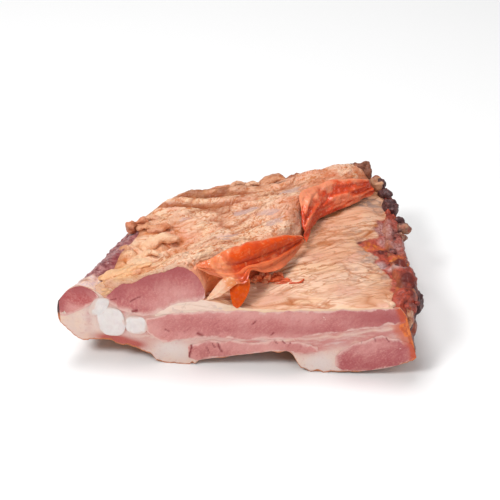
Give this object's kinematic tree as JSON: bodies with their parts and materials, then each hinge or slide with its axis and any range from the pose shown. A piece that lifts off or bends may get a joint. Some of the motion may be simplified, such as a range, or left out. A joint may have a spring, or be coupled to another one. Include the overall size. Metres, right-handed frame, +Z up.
{
  "type": "slab of smoked pork ribs",
  "caption": "Slab of smoked pork ribs lying bone side up, cut across to show lean, fat and rib cartilage, with a thick meat flap and dried membrane on top.",
  "frame": {"origin": "middle of the part's box at the level that it rests on", "axes": "+X along the fresh cut, +Y from the cut to the back, +Z up"},
  "size_m": [0.2304, 0.168, 0.0799],
  "materials": {
    "fat": "moist cream-white fat with a browned crust outside",
    "wrinkled_fat": "dry wrinkled cream skin of fat",
    "lean": "cured pink meat, cut across the grain, slightly moist",
    "cartilage": "smooth white cartilage",
    "browned_fat": "craggy smoked fat, pale orange to brown",
    "membrane": "dried translucent orange-red membrane, glossy",
    "pale_membrane": "pale torn membrane, thin and glossy",
    "scrap": "dried brown scrap of meat"
  },
  "bodies": {
    "root": {"inner_fat": "fat", "top_fat": "wrinkled_fat", "upper_lean": "lean", "lower_lean_middle": "lean", "lower_lean_right": "lean", "end_muscle": "lean", "cartilage_upper": "cartilage", "cartilage_large": "cartilage", "cartilage_small": "cartilage", "flap_muscle": "lean", "flap_fat": "browned_fat", "membrane_front": "membrane", "membrane_back": "membrane", "membrane_tongue": "membrane", "membrane_curl": "pale_membrane", "scrap": "scrap"}
  },
  "joints": []
}
